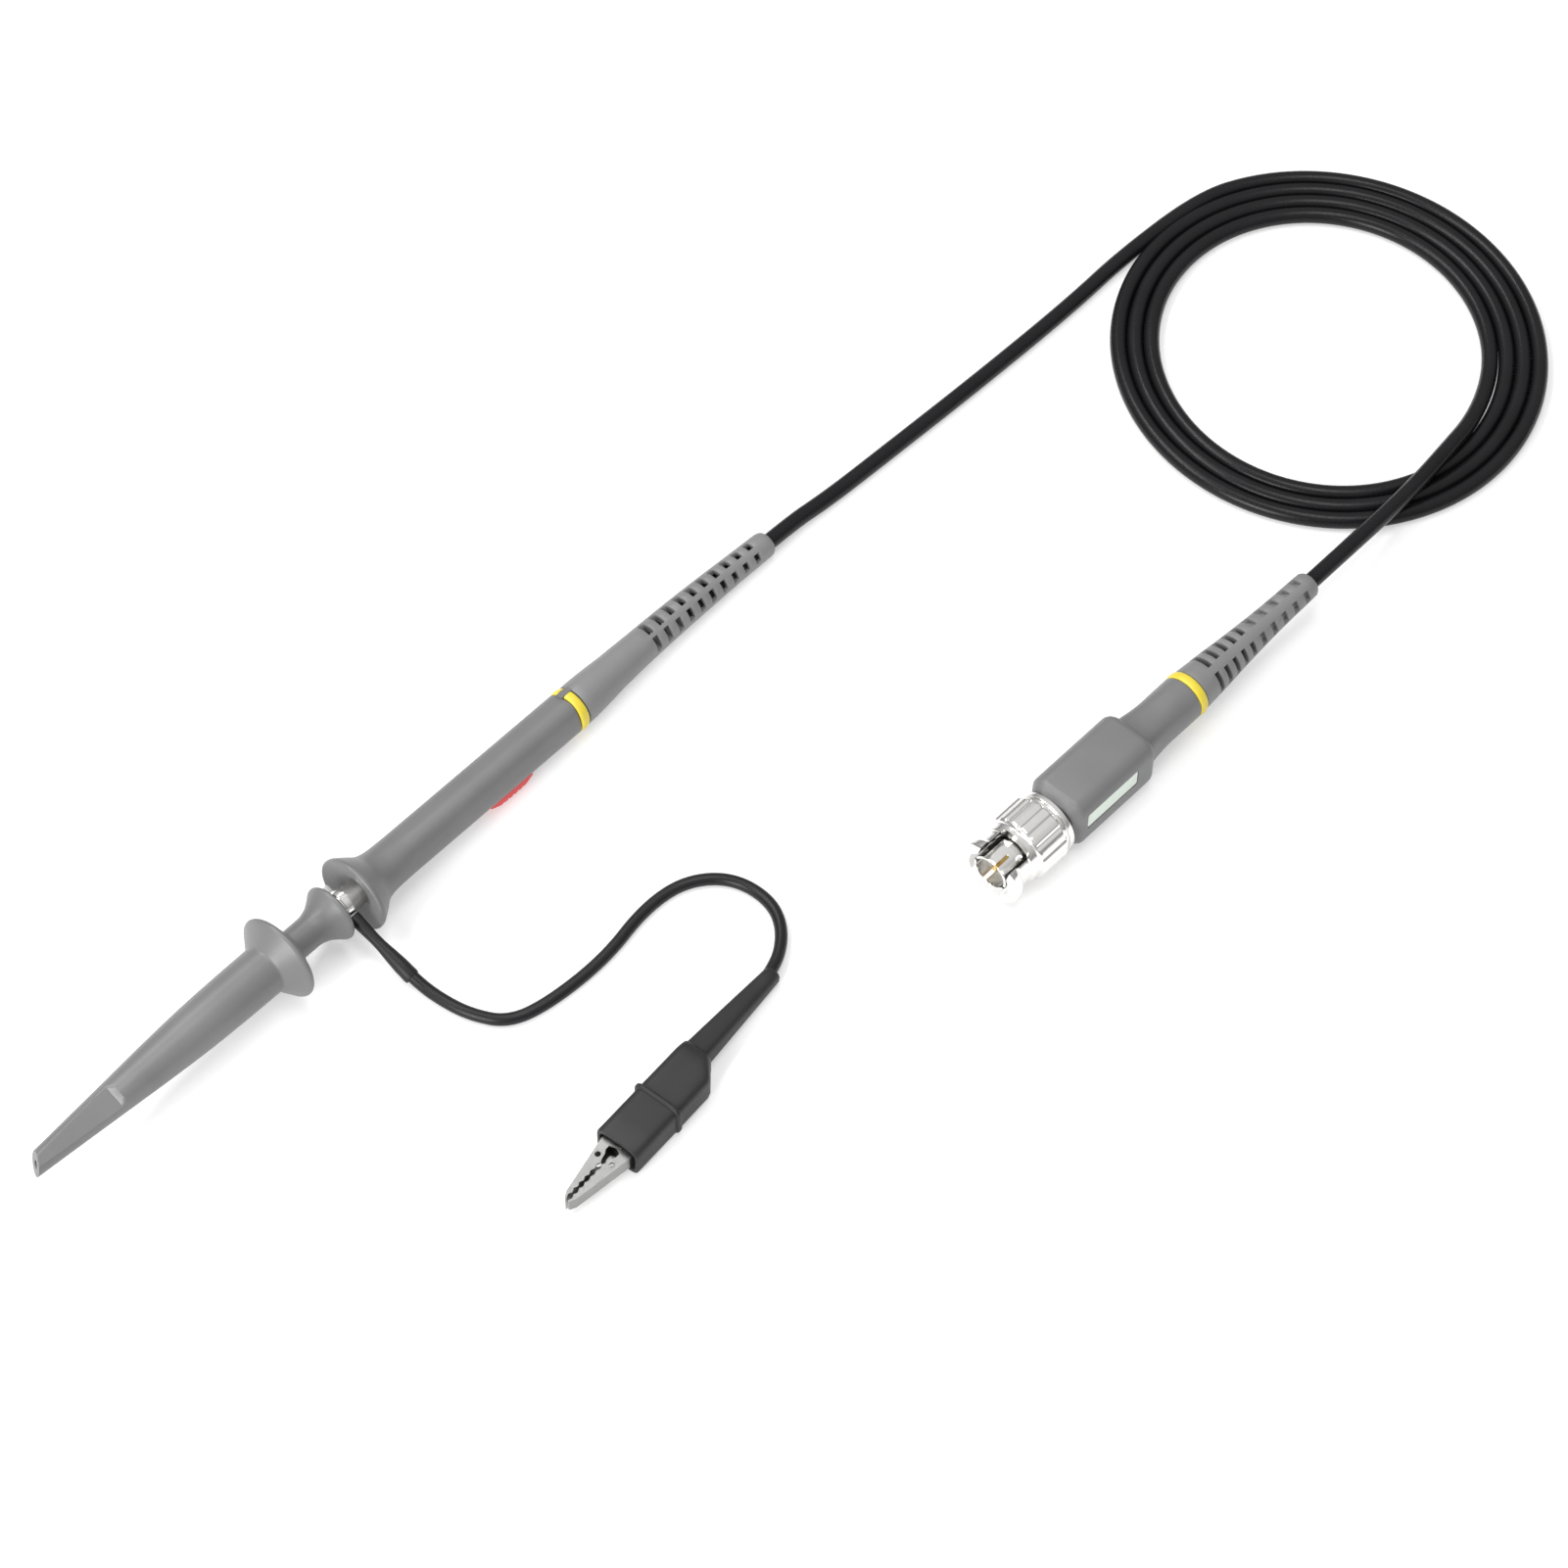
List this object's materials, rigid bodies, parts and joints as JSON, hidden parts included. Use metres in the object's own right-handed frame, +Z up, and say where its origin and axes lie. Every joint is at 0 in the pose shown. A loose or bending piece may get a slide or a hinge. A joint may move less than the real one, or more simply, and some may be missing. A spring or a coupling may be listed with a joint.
{
  "type": "oscilloscope probe",
  "caption": "Passive oscilloscope probe with a retractable hook tip, swivelling ground lead and clip, coiled coaxial cable and BNC plug with a compensation box.",
  "frame": {"origin": "bottom centre of the probe head as it lies on the bench, without its cords", "axes": "+X along the head from the hook tip to the cable, +Z up, the cords on the -Y side"},
  "size_m": [0.3643, 0.109, 0.018],
  "materials": {
    "grey_plastic": "matt moulded",
    "yellow_plastic": "satin moulded",
    "red_plastic": "satin moulded",
    "black_plastic": "satin moulded",
    "white_plastic": "satin moulded",
    "cable_black": "glossy extruded",
    "boot_rubber": "matt moulded",
    "nickel": "nickel plated",
    "spring_steel": "bright drawn",
    "contact_gold": "gold plated",
    "board": "solder mask",
    "ceramic": "fired ceramic"
  },
  "bodies": {
    "probe": {"tip_needle": "contact_gold", "tip_insulator": "white_plastic", "ground_barrel": "nickel", "probe_body": "grey_plastic", "shield_tube": "nickel", "attenuator_board": "board", "attenuator_resistor": "ceramic", "attenuator_capacitor": "ceramic", "switch_base": "black_plastic", "body_ring": "yellow_plastic", "probe_boot": "grey_plastic", "probe_ferrule": "nickel", "cable_core": "contact_gold", "main_cable": "cable_black", "cable_coil": "cable_black", "cable_tail": "cable_black", "bnc_contact": "nickel", "bnc_dielectric": "white_plastic", "bnc_pin": "contact_gold", "bnc_gasket": "boot_rubber", "bnc_circlip": "spring_steel", "compensation_box": "grey_plastic", "label_plate": "white_plastic", "compensation_board": "board", "compensation_resistor": "ceramic", "trimmer_base": "black_plastic", "compensation_neck": "grey_plastic", "bnc_ring": "yellow_plastic", "bnc_boot": "grey_plastic", "bnc_ferrule": "nickel"},
    "hook_adapter": {"hook_barrel": "grey_plastic", "hook_socket": "contact_gold", "hook_wire": "spring_steel", "hook_spring": "spring_steel"},
    "hook_cover": {"hook_sleeve": "grey_plastic"},
    "switch": {"switch_knob": "red_plastic", "switch_wiper": "contact_gold"},
    "ground_clip": {"ground_ring": "nickel", "ground_insulator": "cable_black", "ground_sleeve": "cable_black", "ground_lead": "cable_black", "clip_boot": "boot_rubber", "clip_fixed_jaw": "nickel", "clip_pin": "nickel", "clip_spring": "spring_steel"},
    "clip_jaw": {"clip_moving_jaw": "nickel"},
    "coupling_bearing": {"bnc_thrust_washer": "spring_steel", "bnc_wave_washer": "spring_steel"},
    "coupling": {"bnc_coupling": "nickel"},
    "trimmer": {"trimmer_rotor": "white_plastic"}
  },
  "joints": [
    {"name": "adapter_pull", "type": "slide", "parent": "probe", "child": "hook_adapter", "axis": [-0.999, 0, 0.0454], "range_m": [0, 0.03]},
    {"name": "hook_open", "type": "slide", "parent": "hook_adapter", "child": "hook_cover", "axis": [0.999, 0, -0.0454], "range_m": [0, 0.0055], "stiffness_N_per_m": 180, "springref_m": -0.008, "deforming": ["hook_spring"]},
    {"name": "switch_slide", "type": "slide", "parent": "probe", "child": "switch", "axis": [0.999, 0, -0.0454], "range_m": [0, 0.003]},
    {"name": "ground_ring_swivel", "type": "hinge", "parent": "probe", "child": "ground_clip", "pos_m": [-0.02128, 0, 0.00829], "axis": [0.999, 0, -0.0454], "continuous": true},
    {"name": "jaw_open", "type": "hinge", "parent": "ground_clip", "child": "clip_jaw", "pos_m": [-0.02317, -0.07391, 0.0037], "axis": [0, 0, 1], "range_deg": [0, 20], "stiffness_Nm_per_rad": 0.06, "springref_deg": -28.65, "deforming": ["clip_spring"]},
    {"name": "coupling_float", "type": "slide", "parent": "probe", "child": "coupling_bearing", "axis": [-0.9995, 0.0309, 0], "range_m": [0, 0.0007], "stiffness_N_per_m": 4000, "springref_m": -0.001, "deforming": ["bnc_wave_washer"]},
    {"name": "coupling_turn", "type": "hinge", "parent": "coupling_bearing", "child": "coupling", "pos_m": [0.07519, -0.08745, 0.00725], "axis": [0.9995, -0.0309, 0], "continuous": true},
    {"name": "trimmer_turn", "type": "hinge", "parent": "probe", "child": "trimmer", "pos_m": [0.09518, -0.08807, 0.00725], "axis": [0.0309, 0.9995, 0], "continuous": true}
  ]
}
